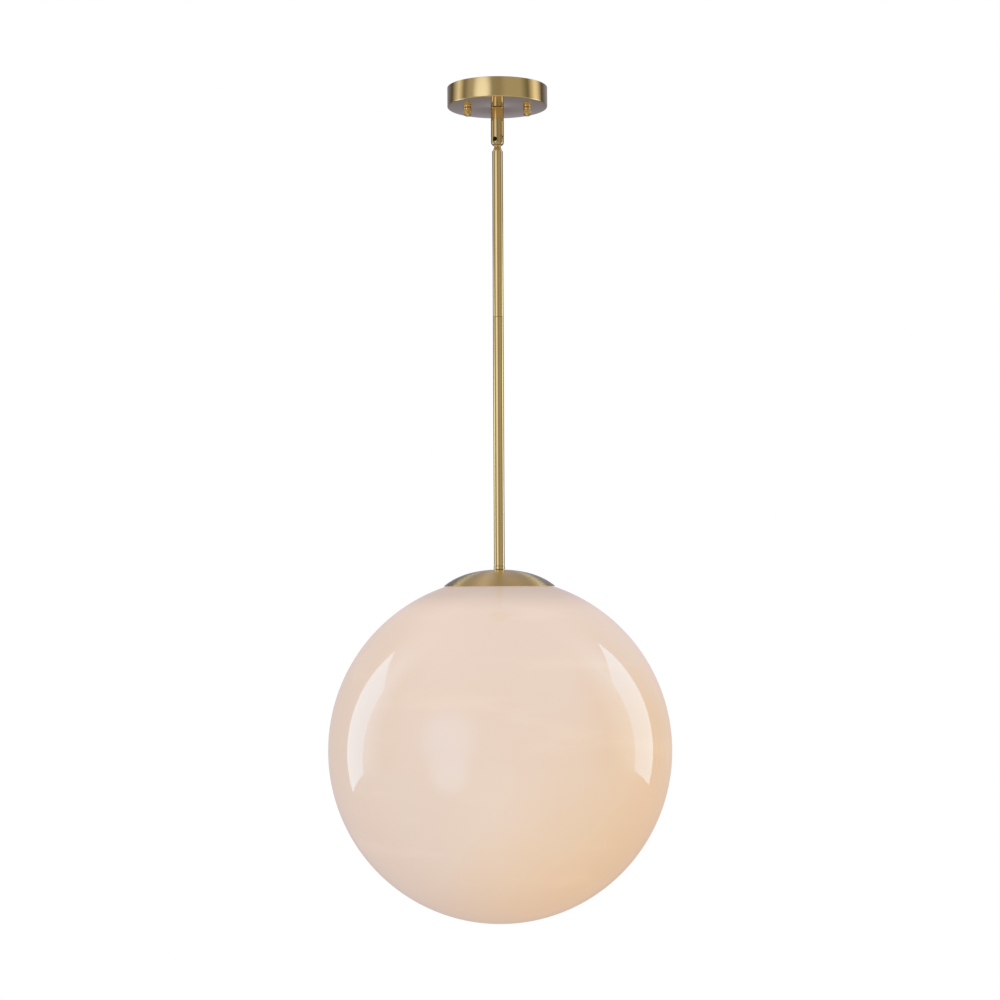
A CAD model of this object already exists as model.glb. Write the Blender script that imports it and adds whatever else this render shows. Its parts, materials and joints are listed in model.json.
"""Looks for the pendant ceiling light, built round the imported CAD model.

Metres, +Z up, front towards -Y. The ceiling is the plane z = 0, and the stem hangs on the Z axis.
Every piece is made where its CAD node is, and rides on that node's body.
"""

import json
import math

import bmesh
import bpy
from mathutils import Matrix, Vector
from mathutils.geometry import interpolate_bezier


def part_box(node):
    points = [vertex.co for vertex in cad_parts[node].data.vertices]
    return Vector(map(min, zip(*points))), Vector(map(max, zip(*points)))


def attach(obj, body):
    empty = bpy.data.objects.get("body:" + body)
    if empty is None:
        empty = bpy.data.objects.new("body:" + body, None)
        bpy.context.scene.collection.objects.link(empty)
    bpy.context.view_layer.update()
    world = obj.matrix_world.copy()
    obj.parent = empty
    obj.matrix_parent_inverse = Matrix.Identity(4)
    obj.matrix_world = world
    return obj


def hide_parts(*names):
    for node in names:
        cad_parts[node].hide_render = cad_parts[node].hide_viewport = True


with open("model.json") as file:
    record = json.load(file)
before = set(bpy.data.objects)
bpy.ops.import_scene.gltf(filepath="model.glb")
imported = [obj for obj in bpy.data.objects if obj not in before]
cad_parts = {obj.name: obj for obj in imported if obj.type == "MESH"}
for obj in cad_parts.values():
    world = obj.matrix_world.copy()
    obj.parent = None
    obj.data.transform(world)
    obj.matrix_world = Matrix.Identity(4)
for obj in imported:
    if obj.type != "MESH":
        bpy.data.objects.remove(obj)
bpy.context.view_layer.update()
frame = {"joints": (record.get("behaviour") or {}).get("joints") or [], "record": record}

MM = 0.001
AXIS_TURN = math.radians(24)  # how far the swivel's pivot axis points to the left of the front

# Camera, level with the top of the globe
CAMERA_DISTANCE = 2.58
CAMERA_RISE = 0.1678  # above the middle of the globe
CAMERA_SIDE = 0.0011
CAMERA_PITCH = math.radians(2.73)
CAMERA_ROLL = math.radians(-0.26)
CAMERA_LENS = 79.4

FLOOR_HEIGHT = -3.2
FLOOR_RADIUS = 8.0

# Sides of the turned pieces
LARGE = 192
MEDIUM = 96
SMALL = 48

CORNER = math.radians(35)  # faces that meet at more than this stay sharp
ON_AXIS = 1e-7  # a turned piece's points this near the axis are on it
DRILL_TURN = Matrix.Rotation(0.05, 4, "Z")  # keeps a drill's corners off the edges of the piece it cuts
Z_TO_FRONT = Matrix.Rotation(math.pi / 2, 4, "X")  # lays a piece that is made along Z along Y
NIPPLE_HOLE = 5.2  # radius in millimetres of every hole that a threaded tube goes through
CAP_WALL = 1.2  # thickness of the cap in millimetres
LEAD_RADIUS = 1 * MM


# ---- Node helpers


def feed(tree, made, inputs):
    """Feeds a node's sockets with values or with other nodes' outputs."""
    for key, value in inputs.items():
        if isinstance(value, bpy.types.NodeSocket):
            tree.links.new(value, made.inputs[key])
        else:
            made.inputs[key].default_value = value


def node(tree, kind, inputs=None, **settings):
    """Adds a node with its settings, and feeds its sockets."""
    made = tree.nodes.new(kind)
    for name, value in settings.items():
        setattr(made, name, value)
    feed(tree, made, inputs or {})
    return made


def math_node(tree, operation, first, second=0.0):
    """The result of a sum on numbers."""
    return node(tree, "ShaderNodeMath", {0: first, 1: second}, operation=operation).outputs[0]


def vector_node(tree, operation, first, second=(0.0, 0.0, 0.0)):
    """The result of a sum on vectors, which is a number for a length or a dot product."""
    made = node(tree, "ShaderNodeVectorMath", {0: first, 1: second}, operation=operation)
    return made.outputs["Value" if operation in ("LENGTH", "DOT_PRODUCT") else "Vector"]


def height_of(tree, place):
    """The Z part of a vector."""
    return node(tree, "ShaderNodeSeparateXYZ", {0: place}).outputs["Z"]


def fade(tree, value, start, end, low=0.0, high=1.0):
    """Goes smoothly from low to high as value goes from start to end."""
    inputs = {"Value": value, "From Min": start, "From Max": end, "To Min": low, "To Max": high}
    return node(tree, "ShaderNodeMapRange", inputs, interpolation_type="SMOOTHSTEP").outputs["Result"]


def mix_colour(tree, factor, first, second):
    """A mix of two colours, each (red, green, blue) or another node's output."""
    mix = node(tree, "ShaderNodeMix", {"Factor": factor}, data_type="RGBA")
    colour_sockets = [socket for socket in mix.inputs if socket.type == "RGBA"]
    for socket, value in zip(colour_sockets, (first, second)):
        if isinstance(value, bpy.types.NodeSocket):
            tree.links.new(value, socket)
        else:
            socket.default_value = (*value, 1.0)
    return next(socket for socket in mix.outputs if socket.type == "RGBA")


def noise(tree, place, scale, detail=3.0, dimensions="3D"):
    """Noise from 0 to 1, about 0.5 on average."""
    key = "W" if dimensions == "1D" else "Vector"
    inputs = {key: place, "Scale": scale, "Detail": detail}
    return node(tree, "ShaderNodeTexNoise", inputs, noise_dimensions=dimensions).outputs["Fac"]


def bump(tree, height, strength, depth):
    """A normal from a relief whose depth is in millimetres."""
    inputs = {"Height": height, "Strength": strength, "Distance": depth * MM}
    return node(tree, "ShaderNodeBump", inputs).outputs[0]


# ---- Materials


def new_material(name):
    """A material with only its Principled shader, and the place on the piece in its own axes."""
    material = bpy.data.materials.new(name)
    material.use_nodes = True
    tree = material.node_tree
    tree.nodes.clear()
    shader = node(tree, "ShaderNodeBsdfPrincipled")
    show(tree, shader)
    place = node(tree, "ShaderNodeTexCoord").outputs["Object"]
    return material, tree, shader, place


def show(tree, shader):
    """Makes a shader the surface of a material, in place of any other."""
    output = tree.nodes.get("surface") or node(tree, "ShaderNodeOutputMaterial", name="surface")
    feed(tree, output, {"Surface": shader.outputs[0]})


def scaled(colour, *factors):
    """The colour times one factor, or times one each for red, green and blue, and never above 1."""
    factors = factors if len(factors) == 3 else factors * 3
    return tuple(min(1.0, part * factor) for part, factor in zip(colour, factors))


def outline_distance(tree, place):
    """A length that grows along a turned piece's outline, outwards and downwards."""
    radius = vector_node(tree, "LENGTH", vector_node(tree, "MULTIPLY", place, (1, 1, 0)))
    return math_node(tree, "SUBTRACT", radius, height_of(tree, place))


def worn_edges(tree):
    """1 on outside edges that hands have rubbed bright, 0 on flat metal."""
    point = node(tree, "ShaderNodeNewGeometry").outputs["Pointiness"]
    return fade(tree, point, 0.52, 0.62)


def brushed_metal(name, colour, roughness, line_depth, anisotropy=0.5, spread=0.05, flat_polish=0.0):
    """Lacquered metal turned round its axis, with fine lines, patches of tarnish and worn edges.

    The lines' depth is in millimetres. Faces square to the axis are smoother by flat_polish."""
    material, tree, shader, place = new_material(name)
    along = outline_distance(tree, place)
    fine_lines = noise(tree, along, 3500, 4, "1D")
    broad_lines = noise(tree, along, 420, 2, "1D")
    patches = noise(tree, place, 28, 4)
    specks = noise(tree, place, 900, 2)
    worn = worn_edges(tree)
    dark = scaled(colour, 0.90, 0.86, 0.78)
    light = scaled(colour, 1.05, 1.06, 1.10)
    body = mix_colour(tree, math_node(tree, "MULTIPLY", patches, 0.6), light, dark)
    body = mix_colour(tree, fade(tree, fine_lines, 0.3, 0.8, 0.0, 0.22), body, dark)
    body = mix_colour(tree, math_node(tree, "MULTIPLY", worn, 0.5), body, light)
    rough = fade(tree, patches, 0.3, 0.75, roughness - spread / 2, roughness + spread / 2)
    rough = math_node(tree, "ADD", rough, fade(tree, broad_lines, 0.3, 0.7, -spread / 4, spread / 4))
    rough = math_node(tree, "SUBTRACT", rough, math_node(tree, "MULTIPLY", worn, spread / 2))
    upright = height_of(tree, node(tree, "ShaderNodeTexCoord").outputs["Normal"])
    flatness = fade(tree, math_node(tree, "ABSOLUTE", upright), 0.9, 0.99, 0.0, flat_polish)
    relief = math_node(tree, "ADD", fine_lines, math_node(tree, "MULTIPLY", specks, 0.15))
    feed(tree, shader, {
        "Base Color": body,
        "Metallic": 1.0,
        "Roughness": math_node(tree, "SUBTRACT", rough, flatness),
        "Coat Weight": 1.0,
        "Coat Roughness": 0.04,
        "Coat IOR": 1.5,
        "Anisotropic": anisotropy,
        "Anisotropic Rotation": 0.25,
        "Tangent": node(tree, "ShaderNodeTangent", direction_type="RADIAL", axis="Z").outputs[0],
        "Normal": bump(tree, relief, 0.35, line_depth),
    })
    return material


def plated_metal(name, colour, roughness):
    """Small plated hardware: cloudy plating with a faint grain and bright corners."""
    material, tree, shader, place = new_material(name)
    clouds = noise(tree, place, 160, 5)
    grain = noise(tree, place, 2600, 2)
    bright = tuple(min(1.0, part * 1.2 + 0.03) for part in colour)
    body = mix_colour(tree, fade(tree, clouds, 0.3, 0.75), colour, scaled(colour, 0.78))
    feed(tree, shader, {
        "Base Color": mix_colour(tree, math_node(tree, "MULTIPLY", worn_edges(tree), 0.6), body, bright),
        "Metallic": 1.0,
        "Roughness": fade(tree, clouds, 0.3, 0.75, roughness - 0.04, roughness + 0.04),
        "Normal": bump(tree, grain, 0.25, 0.02),
    })
    return material


def moulded(name, colour, roughness, shade=0.85, grain_scale=1800):
    """Moulded plastic, rubber or ceramic: even colour with slow clouds and a fine skin."""
    material, tree, shader, place = new_material(name)
    clouds = noise(tree, place, 45, 4)
    grain = noise(tree, place, grain_scale, 3)
    feed(tree, shader, {
        "Base Color": mix_colour(tree, fade(tree, clouds, 0.3, 0.7), colour, scaled(colour, shade)),
        "Roughness": fade(tree, grain, 0.3, 0.7, roughness - 0.05, roughness + 0.05),
        "IOR": 1.5,
        "Normal": bump(tree, grain, 0.3, 0.02),
    })
    return material


def opal_glass(name, middle, radius):
    """Blown opal glass, lit faintly from inside.

    It is warmer at the bottom right, and dimmer at the left and round the mouth."""
    material, tree, shader, place = new_material(name)
    local = vector_node(tree, "ADD", place, (0.0, 0.0, -middle))

    def across(*way):
        """Goes from -1 to 1 over the globe, one way."""
        return vector_node(tree, "DOT_PRODUCT", local, Vector(way).normalized() / radius)

    swirl = noise(tree, local, 9, 3)
    wobble = math_node(tree, "MULTIPLY", math_node(tree, "SUBTRACT", swirl, 0.5), 0.35)
    warm = fade(tree, math_node(tree, "ADD", across(0.76, -0.10, -0.64), wobble), 0.05, 1.0)
    body = mix_colour(tree, warm, (0.83, 0.69, 0.60), (0.85, 0.63, 0.42))
    glow = mix_colour(tree, warm, (0.43, 0.325, 0.258), (0.43, 0.280, 0.167))
    near_mouth = fade(tree, height_of(tree, local), radius * 0.80, radius * 0.95, 0.0, 0.25)
    dim_side = fade(tree, across(-0.92, 0.0, -0.38), -0.1, 0.9, 0.0, 0.095)
    streaks = noise(tree, vector_node(tree, "MULTIPLY", local, (1.0, 1.0, 4.5)), 7, 4)
    wisps = fade(tree, streaks, 0.55, 0.68, 0.0, 0.03)
    shade = math_node(tree, "ADD", math_node(tree, "SUBTRACT", near_mouth, wisps), dim_side)
    brightness = math_node(tree, "SUBTRACT", 1.0, shade)
    feed(tree, shader, {
        "Base Color": vector_node(tree, "MULTIPLY", body, brightness),
        "Emission Color": vector_node(tree, "MULTIPLY", glow, brightness),
        "Emission Strength": 1.0,
        "Specular Tint": (0.32, 0.74, 1.0, 1.0),
        "Roughness": fade(tree, swirl, 0.3, 0.7, 0.03, 0.06),
        "IOR": 1.84,
        "Normal": bump(tree, noise(tree, local, 14, 2), 0.25, 0.4),
    })
    return material


# ---- Mesh helpers


def linked(name, data):
    """A new object in the scene."""
    made = bpy.data.objects.new(name, data)
    bpy.context.scene.collection.objects.link(made)
    return made


def smooth(mesh):
    """Smooth shading that breaks at corners."""
    mesh.shade_smooth()
    mesh.set_sharp_from_angle(angle=CORNER)


def finished(name, shape):
    """A new object from a bmesh, with its faces outwards, and smooth between its corners."""
    bmesh.ops.recalc_face_normals(shape, faces=shape.faces)
    if shape.calc_volume(signed=True) < 0:
        bmesh.ops.reverse_faces(shape, faces=shape.faces)
    mesh = bpy.data.meshes.new(name)
    shape.to_mesh(mesh)
    shape.free()
    smooth(mesh)
    return linked(name, mesh)


def evaluated_mesh(made):
    """A mesh of what an object's modifiers, or its curve, make."""
    bpy.context.view_layer.update()
    evaluated = made.evaluated_get(bpy.context.evaluated_depsgraph_get())
    return bpy.data.meshes.new_from_object(evaluated)


def turned(name, outline, sides, relief=None):
    """A piece turned about the Z axis from (radius, height) points.

    An outline that doesn't start on the axis is closed from its last point to its first.
    relief(angle, height, radius) is added to the radius of each point off the axis."""
    shape = bmesh.new()
    rings = []
    closed = outline[0][0] > ON_AXIS
    for radius, height in outline:
        if radius <= ON_AXIS:
            rings.append([shape.verts.new((0, 0, height))])
            continue
        ring = []
        for side in range(sides):
            angle = math.tau * side / sides
            reach = radius + (relief(angle, height, radius) if relief else 0.0)
            ring.append(shape.verts.new((reach * math.cos(angle), reach * math.sin(angle), height)))
        rings.append(ring)
    for first, second in zip(rings, rings[1:] + (rings[:1] if closed else [])):
        if len(first) == len(second) == 1:
            continue
        for side in range(sides):
            after = (side + 1) % sides
            corners = [first[side % len(first)], first[after % len(first)]]
            corners += [second[after % len(second)], second[side % len(second)]]
            shape.faces.new(list(dict.fromkeys(corners)))
    return finished(name, shape)


def arc(radius, start, end, steps, centre=(0.0, 0.0)):
    """Points along an arc, from one angle to another."""
    angles = [start + (end - start) * step / steps for step in range(steps + 1)]
    return [(centre[0] + radius * math.cos(a), centre[1] + radius * math.sin(a)) for a in angles]


def rounded(corners):
    """(radius, height) points through (radius, height, fillet) corners, in the same unit."""
    points = []
    for index, (radius, height, fillet) in enumerate(corners):
        corner = Vector((radius, height))
        if not fillet:
            points.append((radius, height))
            continue
        back = (Vector(corners[index - 1][:2]) - corner).normalized()
        ahead = (Vector(corners[(index + 1) % len(corners)][:2]) - corner).normalized()
        half = back.angle(ahead) / 2
        centre = corner + (back + ahead).normalized() * (fillet / math.sin(half))
        start = corner + back * (fillet / math.tan(half)) - centre
        end = corner + ahead * (fillet / math.tan(half)) - centre
        angle = math.atan2(start.y, start.x)
        swing = math.atan2(start.x * end.y - start.y * end.x, start.dot(end))
        points += arc(fillet, angle, angle + swing, 6, centre)
    return points


def in_metres(points, height=0.0):
    """Outline points in millimetres, moved to a height in metres."""
    return [(radius * MM, z * MM + height) for radius, z in points]


def boolean(piece, tool, operation="DIFFERENCE"):
    """Cuts the tool out of the piece, joins them or keeps what they share, and removes the tool."""
    modifier = piece.modifiers.new("cut", "BOOLEAN")
    modifier.operation = operation
    modifier.solver = "EXACT"
    modifier.object = tool
    mesh = evaluated_mesh(piece)
    piece.modifiers.clear()
    piece.data = mesh
    smooth(mesh)
    bpy.data.objects.remove(tool)
    return piece


def block(size, centre):
    """A box-shaped cutting tool, in millimetres."""
    shape = bmesh.new()
    bmesh.ops.create_cube(shape, size=1.0)
    stretch = Matrix.Diagonal([side * MM for side in size]).to_4x4()
    shape.transform(Matrix.Translation([along * MM for along in centre]) @ stretch)
    return finished("cutter", shape)


def drill(radius, low, high, sides=SMALL):
    """A round or many-sided cutting tool along Z."""
    return turned("cutter", [(0, low), (radius, low), (radius, high), (0, high)], sides)


def moved(piece, matrix):
    """Moves the mesh itself, and leaves the object at the origin."""
    piece.data.transform(matrix)
    return piece


def shifted(piece, x, y, z):
    """Moves the mesh itself along the axes."""
    return moved(piece, Matrix.Translation((x, y, z)))


def add_spline(curve, points):
    """Adds straight stretches through the points."""
    spline = curve.splines.new("POLY")
    spline.points.add(len(points) - 1)
    for knot, point in zip(spline.points, points):
        knot.co = Vector(point).to_3d().to_4d()
    return spline


def plate(name, loops, low, high, edge):
    """A flat plate from closed loops of (x, y) points, the first outside and the rest holes."""
    curve = bpy.data.curves.new(name, "CURVE")
    curve.dimensions = "2D"
    curve.fill_mode = "BOTH"
    curve.extrude = (high - low) / 2 - edge
    curve.bevel_depth = edge
    curve.bevel_resolution = 1
    curve.offset = -edge
    for loop in loops:
        add_spline(curve, loop).use_cyclic_u = True
    return shifted(from_curve(name, curve), 0, 0, (high + low) / 2)


def from_curve(name, curve):
    """A mesh object of curve data, with clean, welded faces."""
    holder = linked(f"{name}_curve", curve)
    shape = bmesh.new()
    shape.from_mesh(evaluated_mesh(holder))
    bpy.data.objects.remove(holder)
    bmesh.ops.remove_doubles(shape, verts=shape.verts, dist=1e-6)
    return finished(name, shape)


def circle(radius, count, centre=(0.0, 0.0)):
    """(x, y) points round a circle."""
    return arc(radius, 0, math.tau, count, centre)[:-1]


def slot_loop(length, width, middle=0.0, steps=12):
    """(x, y) points round a slot or bar with round ends, along X."""
    straight = (length - width) / 2
    right = arc(width / 2, -math.pi / 2, math.pi / 2, steps, (middle + straight, 0))
    return right + arc(width / 2, math.pi / 2, math.pi * 1.5, steps, (middle - straight, 0))


def tube(name, path, radius):
    """A round conductor along a path of points."""
    curve = bpy.data.curves.new(name, "CURVE")
    curve.dimensions = "3D"
    curve.bevel_depth = radius
    curve.bevel_resolution = 4
    curve.use_fill_caps = True
    add_spline(curve, path)
    return from_curve(name, curve)


def smooth_path(points):
    """Points in metres along a centripetal Catmull-Rom curve through points in millimetres."""
    steps = 12
    knots = [Vector(point) * MM for point in points]
    knots = [2 * knots[0] - knots[1], *knots, 2 * knots[-1] - knots[-2]]
    path = []
    for before, start, end, after in zip(knots, knots[1:], knots[2:], knots[3:]):
        way_in, way, way_out = start - before, end - start, after - end
        pace_in, pace, pace_out = (math.sqrt(each.length) for each in (way_in, way, way_out))
        leave = (way_in / pace_in - (end - before) / (pace_in + pace) + way / pace) * pace
        arrive = (way / pace - (after - start) / (pace + pace_out) + way_out / pace_out) * pace
        path += interpolate_bezier(start, start + leave / 3, end - arrive / 3, end, steps + 1)[:-1]
    return [*path, knots[-2]]


def joined(piece, other):
    """The piece with the other's faces added to its mesh."""
    shape = bmesh.new()
    shape.from_mesh(piece.data)
    shape.from_mesh(other.data)
    shape.to_mesh(piece.data)
    shape.free()
    bpy.data.objects.remove(other)
    return piece


# ---- Placing pieces


def stand_in(piece, cad_node, material=None):
    """The piece takes its CAD node's place on its body, with the node's own finish unless one is given."""
    slot = slot_of[cad_node]
    material = material or finishes[slot]
    piece.data.materials.clear()
    piece.data.materials.append(material)
    body = next(b for b, members in frame["record"]["behaviour"]["bodies"].items() if cad_node in members)
    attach(piece, body)
    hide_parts(cad_node)


def size_of(cad_node):
    """Centre, radius in X, lowest and highest Z of a CAD node."""
    low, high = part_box(cad_node)
    return (low + high) / 2, (high.x - low.x) / 2, low.z, high.z


# ---- Finishes

slot_of = {part["node"]: part["material_slot"] for part in frame["record"]["subparts"]}
_, glass_radius, glass_low, glass_high = size_of("globe_glass")
globe_middle = glass_low + glass_radius

BRASS = (0.83, 0.61, 0.27)
PALE_BRASS = (0.88, 0.66, 0.29)
DEEP_BRASS = (0.80, 0.58, 0.25)
AGED_BRASS = (0.62, 0.43, 0.165)
satin_brass = brushed_metal("satin_brass", BRASS, 0.17, 0.006, flat_polish=0.08)
dome_brass = brushed_metal("dome_brass", PALE_BRASS, 0.5, 0.008, anisotropy=1.0)
bright_brass = brushed_metal("bright_brass", BRASS, 0.11, 0.0007, anisotropy=0.3, spread=0.03)
dark_brass = brushed_metal("dark_brass", AGED_BRASS, 0.06, 0.001, anisotropy=0.1, spread=0.02)
knurl_brass = brushed_metal("knurl_brass", DEEP_BRASS, 0.09, 0.002, anisotropy=0.0, spread=0.04)
# Colour and roughness
PLATINGS = {
    "zinc_steel": ((0.52, 0.53, 0.54), 0.38),
    "green_steel": ((0.05, 0.20, 0.06), 0.42),
    "black_steel": ((0.03, 0.028, 0.026), 0.4),
    "nickel": ((0.62, 0.60, 0.55), 0.28),
}
# Colour, roughness, brightness of the clouds and scale of the grain
MOULDINGS = {
    "silicone": ((0.78, 0.76, 0.70), 0.6),
    "phenolic": ((0.016, 0.014, 0.013), 0.42),
    "porcelain": ((0.80, 0.78, 0.71), 0.25, 0.93, 300),
    "white_plastic": ((0.80, 0.79, 0.75), 0.4, 0.95),
    "bulb_diffuser": ((0.86, 0.84, 0.80), 0.45, 0.96),
    "circuit_board": ((0.70, 0.71, 0.70), 0.35, 0.85, 700),
    "black_cable": ((0.018, 0.018, 0.019), 0.5),
    "white_cable": ((0.72, 0.70, 0.66), 0.5, 0.92),
    "green_cable": ((0.05, 0.22, 0.045), 0.5),
    "orange_plastic": ((0.60, 0.14, 0.02), 0.42),
}
finishes = {
    "brushed_brass": satin_brass,
    "opal_glass": opal_glass("opal_glass", globe_middle, glass_radius),
    **{slot: plated_metal(slot, *look) for slot, look in PLATINGS.items()},
    **{slot: moulded(slot, *look) for slot, look in MOULDINGS.items()},
}


# ---- Canopy


def make_canopy():
    """The drum against the ceiling: sharp-looking lower edge, thin wall, two holes for the studs."""
    _, radius, low, high = size_of("canopy")
    outer = radius / MM
    drop = (high - low) / MM
    wall, stud_hole = 1.2, 2.5
    outline = rounded([
        (NIPPLE_HOLE, 0, 0.12), (outer, 0, 1.5), (outer, drop, 0.35), (outer - wall, drop, 0.35),
        (outer - wall, wall, 1.0), (NIPPLE_HOLE, wall, 0.12),
    ])
    piece = turned("canopy_shell", in_metres(outline, low), LARGE)
    for label in ("left", "right"):
        tool = moved(drill(stud_hole * MM, low - MM, low + 3 * MM), DRILL_TURN)
        piece = boolean(piece, shifted(tool, size_of(f"stud_{label}")[0].x, 0, 0))
    stand_in(piece, "canopy", satin_brass)


def triangle_wave(value):
    """0 at whole numbers and 1 halfway between."""
    return 1 - abs(2 * (value % 1.0) - 1)


def make_thumb_nut(label):
    """Blind nut turned by hand: plain collar, groove, diamond knurl and a rounded end."""
    centre, radius, low, high = size_of(f"thumb_nut_{label}")
    outer = radius / MM
    length = (high - low) / MM
    bore, collar, groove = 2.2, outer - 0.3, outer - 1.0
    collar_end, knurl_top, knurl_bottom = -2.6, -3.2, -length + 1.7
    teeth, lead, depth, run_out, rows = 10, 3.1, 0.75, 0.35, 40

    def relief(angle, height, reach):
        z = height / MM
        if reach < groove * MM or not knurl_bottom < z < knurl_top:
            return 0.0
        ends = min(1.0, (z - knurl_bottom) / run_out, (knurl_top - z) / run_out)
        around = teeth * angle / math.tau
        ridge = min(triangle_wave(around + z / lead), triangle_wave(around - z / lead))
        return -depth * MM * (1 - min(1.0, 1.5 * ridge)) * ends

    outline = rounded([
        (bore, 0, 0), (collar, 0, 0.35), (collar, collar_end, 0.25), (groove, collar_end, 0.1),
        (groove, knurl_top, 0.1), (collar, knurl_top, 0),
    ])
    for row in range(rows + 1):
        outline.append((outer, knurl_top - 0.01 + (knurl_bottom - knurl_top) * row / rows))
    outline += rounded([
        (outer - 0.2, knurl_bottom, 0), (outer - 0.5, knurl_bottom - 0.3, 0.2),
        (outer - 1.9, -length, 0.9), (0, -length, 0),
    ])
    bore_end = (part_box(f"stud_{label}")[0].z - high) / MM - 0.3
    outline += [(0, bore_end), (bore, bore_end)]
    piece = turned(f"knurled_nut_{label}", in_metres(outline), teeth * 14, relief)
    piece.location = (centre.x, centre.y, high)
    stand_in(piece, f"thumb_nut_{label}", knurl_brass)


# ---- Swivel

pivot_height = next(j["pos_m"][2] for j in frame["joints"] if j["name"] == "stem_tilt")
to_pivot = Matrix.Translation((0, 0, pivot_height)) @ Matrix.Rotation(-AXIS_TURN, 4, "Z")
# Millimetres, and heights are from the pivot
END_DROP = 6.8
TAPER_DROP = 2.7
TIP_RADIUS = 4.6
SLOT_HALF = 4.5
TONGUE_HALF = 4.2


def taper(radius):
    """The rounded taper of the swivel's lower end, tip first, in millimetres from the pivot."""
    steps = 10
    points = []
    for step in range(steps + 1):
        angle = math.pi / 2 * step / steps
        along = TIP_RADIUS + (radius - TIP_RADIUS) * math.sin(angle)
        points.append((along, -TAPER_DROP - (END_DROP - TAPER_DROP) * math.cos(angle)))
    return points


def pivot_drill(radius, reach):
    """A cutting tool along the pivot axis, in the swivel's own axes."""
    return moved(drill(radius * MM, -reach * MM, reach * MM), Z_TO_FRONT)


def arched(radius, foot):
    """(x, z) points in metres round the top half of a disc that stands on straight sides."""
    top = arc(radius * MM, 0, math.pi, 48)
    return [*top, (-radius * MM, foot * MM), (radius * MM, foot * MM)]


def make_fork():
    """The slotted barrel under the canopy."""
    _, radius, _, high = size_of("swivel_fork")
    outer = radius / MM
    top = (high - pivot_height) / MM
    bore, socket_end, screw_hole = 3.2, top - 13, 2.8
    outline = [(bore, -END_DROP), *taper(outer)]
    outline += rounded([
        (outer, 0, 0), (outer, top, 0.1), (NIPPLE_HOLE, top, 0.2), (NIPPLE_HOLE, socket_end, 0),
    ])
    outline += [(bore, socket_end)]
    piece = turned("swivel_barrel", in_metres(outline), MEDIUM)
    arch = math.hypot(outer - 0.1, TAPER_DROP) + 0.3
    side = arched(arch, -END_DROP - 1)
    slot = moved(plate("slot", [side], -SLOT_HALF * MM, SLOT_HALF * MM, 0.0), Z_TO_FRONT)
    piece = boolean(piece, slot)
    piece = boolean(piece, pivot_drill(screw_hole, 12))
    stand_in(moved(piece, to_pivot), "swivel_fork", dark_brass)


def make_knuckle():
    """The tongue that tilts in the barrel's slot, with its neck, flare and hidden spigot."""
    outer, spigot, bore, screw_hole = 7.6, 4.9, 2.4, 2.65
    spigot_end, flare_end, shoulder = -25.2, -13.2, -7.4
    clear = 30  # more than the whole tongue
    tongue = math.hypot(outer, TAPER_DROP)
    outline = [(0, spigot_end), (spigot, spigot_end), (spigot, flare_end)]
    outline += rounded([
        (4.75, flare_end, 0), (5.15, -12.1, 0.3), (4.1, -9.5, 0.8), (3.9, -7.9, 0),
    ])
    outline += [*taper(outer), (outer, tongue), (0, tongue)]
    piece = turned("swivel_tongue", in_metres(outline), MEDIUM)
    disc = moved(drill(tongue * MM, -12 * MM, 12 * MM, LARGE), Z_TO_FRONT)
    below = block((clear, clear, clear), (0, 0, -clear / 2 - TAPER_DROP))
    piece = boolean(piece, boolean(disc, below, "UNION"), "INTERSECT")
    cheek = outer  # thick enough to reach from the tongue's side past its outside
    for way in (-1, 1):
        middle = (0, way * (TONGUE_HALF + cheek / 2), shoulder + clear / 2)
        piece = boolean(piece, block((clear, cheek, clear), middle))
    piece = boolean(piece, drill(bore * MM, -clear * MM, 10 * MM))
    piece = boolean(piece, pivot_drill(screw_hole, 12))
    stand_in(moved(piece, to_pivot), "swivel_knuckle", dark_brass)


def make_pivot_screw(label, side):
    """Black grub screw with a hexagon socket, just under the barrel's surface."""
    radius, inner, outer = 2.5, 2.8, 7.0
    socket_width, socket_end = 2.5, 4.8
    outline = rounded([(0, inner, 0), (radius, inner, 0.4), (radius, outer, 0.35), (0, outer, 0)])
    piece = turned(f"grub_screw_{label}", in_metres(outline), SMALL)
    piece = boolean(piece, drill(socket_width / math.sqrt(3) * MM, socket_end * MM, (outer + 1) * MM, 6))
    moved(piece, Matrix.Rotation(side * math.pi / 2, 4, "X"))
    stand_in(moved(piece, to_pivot), f"pivot_screw_{label}")


# ---- Stem, cap and globe


def make_tube(name, cad_node, fillet):
    """A turned brass tube in its CAD node's place, with soft edges."""
    _, radius, low, high = size_of(cad_node)
    outer, foot = radius / MM, (low - high) / MM
    corners = [(NIPPLE_HOLE, foot, 0.1), (outer, foot, fillet), (outer, 0, fillet), (NIPPLE_HOLE, 0, 0.1)]
    make_turned(name, cad_node, corners, material=bright_brass)


def cap_skin(offset):
    """(radius, height) points in millimetres down the cap's dome, on it or at an offset inside it."""
    _, radius, low, high = size_of("globe_cap")
    shoulder, steps = 42, 64
    points = []
    for step in range(steps + 1):
        t = step / steps
        bend, end = 2 * t * (1 - t), t * t
        reach = bend * (shoulder - offset / 2) + end * (radius / MM - offset)
        points.append((reach, end * (low - high) / MM - (1 - end) * offset))
    return points


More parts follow.
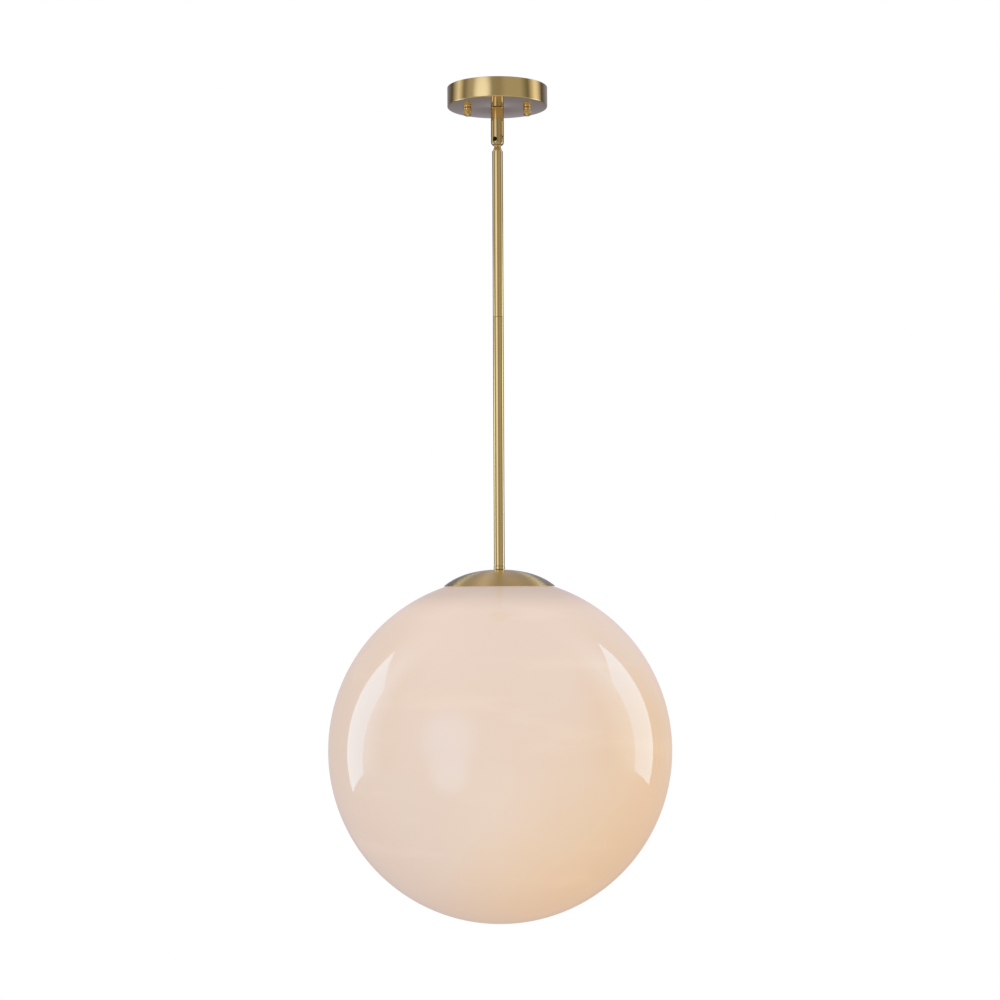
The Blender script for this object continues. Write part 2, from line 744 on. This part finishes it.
def make_cap():
    """The shallow dome over the mouth of the glass, with a rolled rim."""
    _, radius, low, high = size_of("globe_cap")
    outer = radius / MM
    drop = (low - high) / MM
    hub, edge = 7, 0.4
    outside = [p for p in cap_skin(0) if hub < p[0] < outer - 0.7]
    inside = [p for p in cap_skin(CAP_WALL) if hub < p[0] < outer - CAP_WALL - 0.6]
    rim = rounded([
        (*inside[-1], 0), (outer - CAP_WALL, drop, edge), (outer, drop, edge), (*outside[-1], 0),
    ])
    outline = [*rim, *reversed(outside[:-1]), (NIPPLE_HOLE, 0), (NIPPLE_HOLE, -CAP_WALL), *inside[:-1]]
    piece = turned("cap_dome", in_metres(outline, high), LARGE)
    stand_in(piece, "globe_cap", dome_brass)


def make_glass():
    """The blown globe, with an even wall and a fire-rounded mouth."""
    wall, steps = 2.5 * MM, 96
    mouth = math.asin((glass_high - globe_middle) / glass_radius)
    middle = (0, globe_middle)
    outside = arc(glass_radius, -math.pi / 2, mouth, steps, middle)
    inside = arc(glass_radius - wall, -math.pi / 2, mouth, steps, middle)
    lip_centre = (Vector(outside[-1]) + Vector(inside[-1])) / 2
    lip = arc(wall / 2, mouth, mouth + math.pi, 8, lip_centre)[1:-1]
    outline = [(reach, min(z, glass_high)) for reach, z in (*outside, *lip, *reversed(inside))]
    stand_in(turned("glass_globe", outline, LARGE), "globe_glass")


# ---- Ceiling fixing and threaded hardware


def make_threaded(name, cad_node, bore, pitch):
    """A threaded rod or tube along Z, whose crests reach its CAD node's radius."""
    centre, radius, low, high = size_of(cad_node)
    depth = 0.55 * pitch * MM
    rows_per_turn = 5

    def relief(angle, height, reach):
        if reach < radius:
            return 0.0
        turns = height / (pitch * MM) - angle / math.tau
        lead_in = min(1.0, (height - low) / (pitch * MM), (high - height) / (pitch * MM))
        return -depth * max(1 - triangle_wave(turns), 1 - lead_in)

    rows = round((high - low) / (pitch * MM) * rows_per_turn)
    wall = [(radius, low + (high - low) * row / rows) for row in range(rows + 1)]
    piece = turned(name, [(bore * MM, low), *wall, (bore * MM, high)], 24, relief)
    stand_in(shifted(piece, centre.x, centre.y, 0), cad_node)


def make_nut(cad_node, bore):
    """A hexagon nut with chamfered corners and a countersunk bore."""
    centre, corner, low, high = size_of(cad_node)
    face = corner * 0.82
    rim = corner + 0.1 * MM
    drop = (rim - face) * math.tan(math.radians(30))
    piece = drill(corner, low, high, 6)
    cone = [(0, low), (face, low), (rim, low + drop), (rim, high - drop), (face, high), (0, high)]
    piece = boolean(piece, turned("cutter", cone, MEDIUM), "INTERSECT")
    hole, sink = bore * MM, 0.35 * MM
    flare = hole + 2 * sink
    core = [(0, low - sink), (flare, low - sink), (hole, low + sink)]
    core += [(hole, high - sink), (flare, high + sink), (0, high + sink)]
    piece = boolean(piece, turned("cutter", core, SMALL))
    piece.name = f"{cad_node}_body"
    stand_in(shifted(piece, centre.x, centre.y, 0), cad_node)


def make_bar():
    """The slotted crossbar that is screwed to the ceiling box."""
    centre, half_length, low, high = size_of("mounting_bar")
    width = (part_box("mounting_bar")[1].y - centre.y) * 2
    slot_length, slot_width, slot_centre = 10 * MM, 4.6 * MM, 44.5 * MM
    loops = [slot_loop(2 * half_length, width, steps=24)]
    for side in (-1, 1):
        loops.append(slot_loop(slot_length, slot_width, side * slot_centre))
    for screw, hole in (("stud_left", 2.2), ("stud_right", 2.2), ("ground_screw", 1.8)):
        loops.append(circle(hole * MM, SMALL, (size_of(screw)[0].x, 0)))
    stand_in(plate("slotted_bar", loops, low, high, 0.25 * MM), "mounting_bar")


def make_ground_screw():
    """Green slotted screw, with its head against the ring terminal."""
    centre, radius, low, high = (value / MM for value in size_of("ground_screw"))
    shank, head_top = 1.5, low + 2
    outline = rounded([
        (0, low, 0), (radius, low, 0.9), (radius, head_top, 0.2), (shank, head_top, 0),
        (shank, high, 0.3), (0, high, 0),
    ])
    piece = turned("earth_screw", in_metres(outline), SMALL)
    piece = boolean(piece, block((8, 0.9, 2), (0, 0, low)))
    stand_in(shifted(piece, centre.x * MM, 0, 0), "ground_screw")


def toothed_circle(teeth, root, tip):
    """(x, y) points round a star washer, with straight-sided teeth."""
    loop = []
    for tooth in range(teeth):
        for part, radius in ((0.0, root), (0.3, root), (0.45, tip), (0.85, tip)):
            angle = math.tau * (tooth + part) / teeth
            loop.append((radius * math.cos(angle), radius * math.sin(angle)))
    return loop


def make_lock_washer():
    """The toothed washer between the canopy and its nut."""
    _, radius, low, high = size_of("canopy_lock_washer")
    loops = [toothed_circle(14, radius - 1.1 * MM, radius), circle(NIPPLE_HOLE * MM, SMALL)]
    stand_in(plate("star_washer", loops, low, high, 0.12 * MM), "canopy_lock_washer")


def make_supply_leads():
    """The three conductors in the canopy, their twist-on connectors and the ring terminal."""
    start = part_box("lead_line")[0].z / MM + 1
    for label, side in (("line", 1), ("neutral", -1)):
        way = smooth_path([
            (side * 1.4, 0.9, start), (side * 1.4, 0.9, -16), (side * 2, 2.4, -8.5),
            (side * 8, 10, -5.6), (side * 17, 17.5, -9), (side * 21, 25, -15),
            (side * 21, 31.5, -17),
        ])
        stand_in(tube(f"supply_{label}", way, LEAD_RADIUS), f"lead_{label}")
        make_wire_nut(label)
    screw = size_of("ground_screw")[0].x
    way = smooth_path([
        (0, -1.5, start), (0, -1.5, -16), (-1, -3, -10), (-5, -9, -6.2), (-11, -14.5, -5.2),
        (screw / MM, -13.8, -4.2), (screw / MM, -8.6, -3),
    ])
    stand_in(tube("supply_ground", way, LEAD_RADIUS), "lead_ground")
    make_ground_lug(screw, way[-7:])


def make_ground_lug(screw, lead_end):
    """The ring terminal under the ground screw's head, crimped on the end of its lead."""
    _, _, low, high = size_of("ground_lug")
    half_tab, tab_end, ring, hole = 1.4 * MM, -8.2 * MM, 3.2 * MM, 1.8 * MM
    opening = math.asin(half_tab / ring)
    sweep = math.tau - 2 * opening
    start = opening - math.pi / 2
    outline = [*arc(ring, start, start + sweep, SMALL), (-half_tab, tab_end), (half_tab, tab_end)]
    lug = shifted(plate("ring_terminal", [outline, circle(hole, SMALL)], low, high, 0.1 * MM), screw, 0, 0)
    stand_in(joined(lug, tube("crimp", lead_end, half_tab)), "ground_lug")


def make_wire_nut(label):
    """A ribbed twist-on connector, open where the conductors go in."""
    low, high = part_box(f"wire_nut_{label}")
    length = (high.y - low.y) / MM
    ribs, rib_depth, rows = 12, 0.4, 12
    ribs_start, ribs_end = 1.5, length - 5

    def relief(angle, height, reach):
        z = height / MM
        if reach < 2.7 * MM or not ribs_start < z < ribs_end:
            return 0.0
        ends = min(1.0, z - ribs_start, ribs_end - z)
        return -rib_depth * MM * (1 - triangle_wave(ribs * angle / math.tau)) * ends

    outline = [(0, 0), *rounded([(2.2, 0, 0), (3.6, 0, 0.6), (3.8, 1.0, 0)])]
    outline += [(3.8 + 0.8 * row / rows, 1.2 + (length - 6.2) * row / rows) for row in range(rows + 1)]
    outline += rounded([
        (4.6, length - 4.9, 0), (5.4, length - 4, 0.5), (5.4, length, 0.5), (4.2, length, 0.4),
        (2.6, 3, 0.6), (0, 3, 0),
    ])
    piece = turned(f"twist_connector_{label}", in_metres(outline), ribs * 8, relief)
    middle = (low + high) / 2
    piece = shifted(moved(piece, Z_TO_FRONT), middle.x, high.y, middle.z)
    stand_in(piece, f"wire_nut_{label}")


def make_stem_leads():
    """The two conductors down the stem, to the terminals on the lampholder's core."""
    holder = size_of("lampholder_cap")[3]
    terminal = size_of("lampholder_core")[3]
    for label, side in (("line", 1), ("neutral", -1)):
        beside, far = side * 1.15 * MM, side * 9 * MM
        top = pivot_height - 2 * MM
        bend, end = holder - 3 * MM, terminal + 3 * MM
        knots = [(0, beside, bend), (0, beside, bend - 9 * MM), (0, far, end + 9 * MM), (0, far, end)]
        way = [Vector((0, beside, top)), *interpolate_bezier(*map(Vector, knots), 24)]
        stand_in(tube(f"stem_conductor_{label}", way, LEAD_RADIUS), f"stem_lead_{label}")


# ---- Claw, gasket, lampholder and bulb


def make_turned(name, cad_node, corners, sides=MEDIUM, relief=None, material=None):
    """A turned piece from (radius, height, fillet) corners, in millimetres below its CAD node's top."""
    centre, _, _, high = size_of(cad_node)
    piece = turned(name, in_metres(rounded(corners)), sides, relief)
    stand_in(shifted(piece, centre.x, centre.y, high), cad_node, material)


def make_gasket():
    """Silicone ring between the glass and the inside of the cap, shaped to both."""
    _, radius, _, high = size_of("globe_gasket")
    cap_top = size_of("globe_cap")[3]
    skin = cap_skin(CAP_WALL)
    outer = radius / MM
    lower, upper = [], []
    for along in (outer - 5.5, outer - 2.75, outer):
        glass = globe_middle + math.sqrt(glass_radius ** 2 - (along * MM) ** 2) - high
        ceiling = cap_top - high + next(z for reach, z in skin if reach >= along) * MM
        lower.append((along, glass / MM + 0.3, 0.4))
        upper.append((along, ceiling / MM - 0.6, 0.4))
    make_turned("mouth_gasket", "globe_gasket", [*lower, *reversed(upper)], LARGE)


def arm_strip(name, start, end, top, thickness, width):
    """One bent arm along +X in millimetres, with soft edges. Its top is flat up to the bend."""
    bend, blend, slope, soft = 46, 2, math.tan(math.radians(16)), 0.3

    def drop(along):
        past = along - bend
        if past > blend:
            return past * slope
        return (past + blend) ** 2 / (4 * blend) * slope if past > -blend else 0.0

    in_bend = [along for along in range(bend - blend, bend + blend + 1) if start + soft < along < end - soft]
    flat = [start + soft, *in_bend, end - soft]
    stations = [(start, soft), *((along, 0) for along in flat), (end, soft)]
    shape = bmesh.new()
    rings = []
    for along, inset in stations:
        half, upper = width / 2 - inset, top - drop(along) - inset
        lower = top - drop(along) - thickness + inset
        section = [(half - soft, upper), (half, upper - soft), (half, lower + soft), (half - soft, lower)]
        section += [(-y, z) for y, z in reversed(section)]
        rings.append([shape.verts.new((along * MM, y * MM, z * MM)) for y, z in section])
    for first, second in zip(rings, rings[1:]):
        for index in range(len(first)):
            shape.faces.new((first[index - 1], first[index], second[index], second[index - 1]))
    shape.faces.new(rings[0])
    shape.faces.new(rings[-1])
    return finished(name, shape)


def make_claw():
    """The three-armed spring claw under the cap, and the silicone boots on its arms."""
    thickness, width, reach = 1.5, 10, 59
    arm_start, boot_length, skin, gap = 9, 9, 1, 0.3
    around = skin + gap
    top = size_of("globe_claw")[3]
    hub = 13
    outline = rounded([
        (NIPPLE_HOLE, -thickness, 0.1), (hub, -thickness, 0.3), (hub, 0, 0.3), (NIPPLE_HOLE, 0, 0.1)])
    claw = turned("spring_claw", in_metres(outline), MEDIUM)
    for arm in range(3):
        turn = Matrix.Rotation(math.pi / 6 + arm * math.tau / 3, 4, "Z")
        # A little thinner than the hub, so that their faces don't coincide
        strip = arm_strip("arm", arm_start, reach, -0.01, thickness - 0.02, width)
        claw = boolean(claw, moved(strip, turn), "UNION")
        boot = arm_strip(f"boot_{arm + 1}", reach - boot_length, reach + around, around,
                         thickness + 2 * around, width + 2 * around)
        pocket = arm_strip("pocket", reach - boot_length - 1, reach + gap, gap,
                           thickness + 2 * gap, width + 2 * gap)
        boot = moved(boolean(boot, pocket), turn)
        stand_in(shifted(boot, 0, 0, top), f"claw_boot_{arm + 1}")
    stand_in(shifted(claw, 0, 0, top), "globe_claw")


SCREW_BASE_LENGTH = 21.6
SCREW_BASE_PITCH = 3.6


def screw_wall(radius):
    """Corners down the wall of a rolled screw base, close enough for its thread."""
    rows = 60
    return [(radius, -SCREW_BASE_LENGTH * row / rows, 0) for row in range(rows + 1)]


def helix(pitch, depth, from_radius):
    """Relief of a rolled screw thread that stands out from the given radius, in millimetres."""
    def relief(angle, height, reach):
        if reach < from_radius * MM - 1e-7:
            return 0.0
        turns = height / (pitch * MM) - angle / math.tau
        return depth * MM * (1 - math.cos(math.tau * turns)) / 2
    return relief


def make_lampholder():
    """Medium screw-base lampholder: phenolic cap and body round a porcelain core."""
    make_turned("holder_cap", "lampholder_cap", [
        (17.8, -25, 0.2), (20, -25, 0.4), (20, -17, 2), (13.5, -7, 2), (12.5, -5, 0.8),
        (12.5, 0, 0.8), (NIPPLE_HOLE, 0, 0.3), (NIPPLE_HOLE, -8, 0.2), (10.3, -9, 0.5), (17.8, -18.5, 1.5)])
    ribs, rib_depth, ribs_top, ribs_bottom = 60, 0.3, -1, -6

    def grip(angle, height, reach):
        on_band = reach > 19.9 * MM and ribs_bottom < height / MM < ribs_top
        return -rib_depth * MM * (1 - triangle_wave(ribs * angle / math.tau)) if on_band else 0.0

    make_turned("holder_body", "lampholder_body", [
        (15.6, -34.7, 0.2), (17.6, -34.7, 0.2), (18.4, -33.9, 0.3), (18.8, -7.7, 0.5), (20, -6.7, 0.3),
        (20, -5.9, 0), (20, -1.1, 0), (20, 0, 0.4), (15.6, 0, 0.2)], ribs * 4, grip)
    make_turned("holder_core", "lampholder_core", [
        (1.8, -8, 0.2), (15.2, -8, 0.5), (15.2, 0, 0.5), (1.8, 0, 0.2)])
    make_turned("holder_contact", "lampholder_contact", [
        (0, -1.4, 0), (2.4, -1.4, 0.3), (3.6, -0.6, 0.2), (3.6, 0, 0.2), (0, 0, 0)], SMALL)
    root, shell = 13.7, 0.5
    lining = [(root, z, 0) for _, z, _ in reversed(screw_wall(root))]
    make_turned("holder_screw_shell", "lampholder_shell", [*screw_wall(root + shell), *lining],
                MEDIUM, helix(SCREW_BASE_PITCH, 0.5, root))
    for label in ("line", "neutral"):
        centre, _, low, _ = size_of(f"terminal_screw_{label}")
        head = rounded([(0, 0, 0), (2.6, 0, 0.2), (2.6, 1.6, 0.4), (1.8, 2.2, 0.4), (0, 2.2, 0)])
        piece = turned(f"terminal_{label}", in_metres(head), SMALL)
        piece = boolean(piece, block((6, 0.7, 1.4), (0, 0, 2.2)))
        stand_in(shifted(piece, centre.x, centre.y, low), f"terminal_screw_{label}")


def make_bulb():
    """A 60 mm LED bulb with a medium screw base."""
    make_turned("base_contact", "bulb_contact", [
        (0, -1.6, 0), (4.6, -1.6, 0.2), (3.6, -0.5, 0.4), (1.8, 0, 0.5), (0, 0, 0)], SMALL)
    make_turned("base_insulator", "bulb_insulator", [
        (0, -3.1, 0), (11, -3.1, 0.2), (10.6, -2.3, 0.3), (5.4, 0, 0.5), (0, 0, 0)])
    root, inner = 12.2, 11.4
    shell = [(inner, 0, 0), *screw_wall(root), (inner, -SCREW_BASE_LENGTH, 0)]
    make_turned("base_shell", "bulb_screw_base", shell, MEDIUM, helix(SCREW_BASE_PITCH, 1.0, root))
    make_turned("bulb_body", "bulb_housing", [
        (28, -54.4, 0.2), (29.6, -54.4, 0.3), (27.4, -44.4, 12), (20.6, -32.4, 12), (15.2, -24.4, 6),
        (13.4, -21.6, 0.4), (11, -21.6, 0.1), (11, 0, 0.3), (9.4, 0, 0.3), (9.4, -21.3, 1),
        (13.4, -25.4, 2), (18.8, -33.4, 6), (25.6, -45.4, 6)])
    make_turned("led_board", "bulb_led_board", [
        (0, -1.6, 0), (25, -1.6, 0.2), (25, 0, 0.2), (0, 0, 0)])
    radius, wall = 30, 1.6
    outside, inside = (arc(reach, -math.pi / 2, 0, 48, (0, -15.7)) for reach in (radius, radius - wall))
    corners = [*outside, (29.6, 0, 0.3), (28, 0, 0.3), *reversed(inside)]
    make_turned("bulb_diffuser", "bulb_dome", [(*corner, 0)[:3] for corner in corners])


make_canopy()
make_thumb_nut("left")
make_thumb_nut("right")
make_fork()
make_knuckle()
make_pivot_screw("front", 1)
make_pivot_screw("rear", -1)
make_tube("upper_rod", "rod_upper", 0.2)
make_tube("lower_rod", "rod_lower", 0.2)
make_tube("end_ring", "rod_end_ring", 0.3)
make_cap()
make_glass()
make_bar()
for label in ("left", "right"):
    make_threaded(f"threaded_stud_{label}", f"stud_{label}", 0, 0.7)
    make_nut(f"stud_nut_{label}", 2.2)
make_ground_screw()
make_lock_washer()
make_nut("canopy_nut", NIPPLE_HOLE)
make_threaded("fixing_nipple", "canopy_nipple", 3.5, 1.0)
make_supply_leads()
make_threaded("stem_coupler", "rod_coupler", 3.5, 1.0)
make_threaded("stem_nipple", "holder_nipple", 3.5, 1.0)
make_stem_leads()
make_turned("clamp_washer", "cap_washer", [
    (NIPPLE_HOLE, -1.2, 0.1), (11, -1.2, 0.3), (11, 0, 0.3), (NIPPLE_HOLE, 0, 0.1)])
make_nut("cap_nut", NIPPLE_HOLE)
make_nut("claw_nut", NIPPLE_HOLE)
make_gasket()
make_claw()
make_lampholder()
make_bulb()


# ---- Studio


def lit_spot(tree, light, direction, bearing, rise, spread, colour):
    """Adds a soft-edged round light at a bearing and rise in degrees."""
    bearing, rise, spread = (math.radians(angle) for angle in (bearing, rise, spread))
    spot = (math.sin(bearing) * math.cos(rise), -math.cos(bearing) * math.cos(rise), math.sin(rise))
    facing = vector_node(tree, "DOT_PRODUCT", direction, spot)
    near = fade(tree, facing, math.cos(spread), math.cos(spread / 8))
    return mix_colour(tree, near, light, colour)


def studio_light():
    """The studio around the lamp, by direction; the camera sees plain white behind the lamp."""
    world = bpy.data.worlds.new("studio")
    bpy.context.scene.world = world
    world.use_nodes = True
    tree = world.node_tree
    tree.nodes.clear()
    direction = node(tree, "ShaderNodeTexCoord").outputs["Generated"]
    axes = node(tree, "ShaderNodeSeparateXYZ", {0: direction})
    x, y, z = (axes.outputs[name] for name in "XYZ")
    bearing = math_node(tree, "ARCTAN2", x, math_node(tree, "MULTIPLY", y, -1.0))
    around = math_node(tree, "ADD", math_node(tree, "DIVIDE", bearing, math.tau), 0.5)
    ramp = node(tree, "ShaderNodeValToRGB", {"Fac": around}, label="walls")
    # Degrees to the right of the camera's side of the lamp, and the light from there
    walls = [
        (-180, (0.33, 0.32, 0.40)),
        (-155, (0.23, 0.23, 0.27)),
        (-126, (0.08, 0.07, 0.05)),
        (-110, (0.50, 0.50, 0.46)),
        (-99, (0.90, 0.90, 0.85)),
        (-82, (0.18, 0.17, 0.14)),
        (-66, (0.42, 0.41, 0.38)),
        (-48, (0.42, 0.41, 0.37)),
        (-10, (0.32, 0.31, 0.27)),
        (5, (0.30, 0.29, 0.25)),
        (20, (0.42, 0.41, 0.36)),
        (55, (0.42, 0.40, 0.35)),
        (75, (0.15, 0.14, 0.10)),
        (97, (1.00, 0.98, 0.90)),
        (106, (0.80, 0.76, 0.70)),
        (122, (0.07, 0.06, 0.05)),
        (148, (0.26, 0.27, 0.32)),
        (180, (0.33, 0.32, 0.40)),
    ]
    elements = ramp.color_ramp.elements
    while len(elements) < len(walls):
        elements.new(1.0)
    for element, (degrees, colour) in zip(elements, walls):
        element.position = degrees / 360 + 0.5
        element.color = (*colour, 1.0)
    low = mix_colour(tree, fade(tree, y, -0.3, 0.5), (0.50, 0.48, 0.44), (0.21, 0.205, 0.25))
    light = mix_colour(tree, fade(tree, z, -0.05, -0.30), ramp.outputs["Color"], low)
    light = mix_colour(tree, fade(tree, z, 0.55, 0.9), light, (0.50, 0.46, 0.47))
    light = lit_spot(tree, light, direction, -34, -11, 17, (1.25, 1.25, 1.30))
    light = lit_spot(tree, light, direction, -35, 9, 25, (1.05, 1.10, 1.25))
    is_camera = node(tree, "ShaderNodeLightPath").outputs["Is Camera Ray"]
    seen = mix_colour(tree, is_camera, light, (1.0, 1.0, 1.0))
    background = node(tree, "ShaderNodeBackground", {"Color": seen, "Strength": 1.0})
    node(tree, "ShaderNodeOutputWorld", {"Surface": background.outputs[0]})


def softbox(name, side, corners):
    """A tall slanted softbox behind the globe's shoulder, whose sharp reflection shows in the glass."""
    mesh = bpy.data.meshes.new(name)
    middle = Vector((0, 0, globe_middle))
    points = [middle + Vector((side * across, along, rise)) for across, along, rise in corners]
    mesh.from_pydata(points, [], [range(len(points))])
    panel = linked(name, mesh)
    material, tree, _, _ = new_material(name)
    show(tree, node(tree, "ShaderNodeEmission", {"Color": (0.78, 0.91, 1.0, 1.0), "Strength": 1.9}))
    mesh.materials.append(material)
    panel.visible_camera = False
    panel.visible_shadow = False


def make_floor():
    """A plain pale floor that fades into the white round it, and adds no light of its own."""
    shape = bmesh.new()
    bmesh.ops.create_circle(shape, cap_ends=True, segments=MEDIUM, radius=FLOOR_RADIUS)
    floor = finished("floor", shape)
    floor.location.z = FLOOR_HEIGHT
    material, tree, shader, place = new_material("pale_floor")
    tone = mix_colour(tree, noise(tree, place, 3), (0.80, 0.79, 0.78), (0.76, 0.75, 0.74))
    feed(tree, shader, {"Base Color": tone, "Roughness": 0.7})
    feed(tree, shader, {"Emission Color": tone, "Emission Strength": 0.6})
    white = node(tree, "ShaderNodeEmission", {"Color": (1, 1, 1, 1), "Strength": 1.0})
    edge = fade(tree, vector_node(tree, "LENGTH", place), FLOOR_RADIUS * 0.35, FLOOR_RADIUS * 0.95)
    show(tree, node(tree, "ShaderNodeMixShader", {0: edge, 1: shader.outputs[0], 2: white.outputs[0]}))
    floor.data.materials.append(material)
    for ray in ("diffuse", "glossy", "transmission", "shadow"):
        setattr(floor, f"visible_{ray}", False)


def make_camera():
    """The camera at the photograph's viewing angle."""
    data = bpy.data.cameras.new("camera")
    data.lens = CAMERA_LENS
    data.sensor_width = 36
    camera = linked("camera", data)
    camera.location = (CAMERA_SIDE, -CAMERA_DISTANCE, globe_middle + CAMERA_RISE)
    facing = Matrix.Rotation(math.pi / 2 + CAMERA_PITCH, 3, "X") @ Matrix.Rotation(CAMERA_ROLL, 3, "Z")
    camera.rotation_euler = facing.to_euler()
    bpy.context.scene.camera = camera


studio_light()
# Corners from the middle of the globe: out to the side, back, and up
left_corners = [(0.80, 0.27, 0.735), (1.01, -0.01, 0.52), (1.11, 0.10, -0.20), (0.98, 0.40, -0.305)]
right_corners = [(0.745, 0.29, 0.785), (0.98, -0.01, 0.585), (1.12, 0.04, -0.185), (1.0, 0.39, -0.27)]
softbox("softbox_left", -1, left_corners)
softbox("softbox_right", 1, right_corners)
make_floor()
make_camera()
bpy.context.scene.view_settings.view_transform = "Standard"
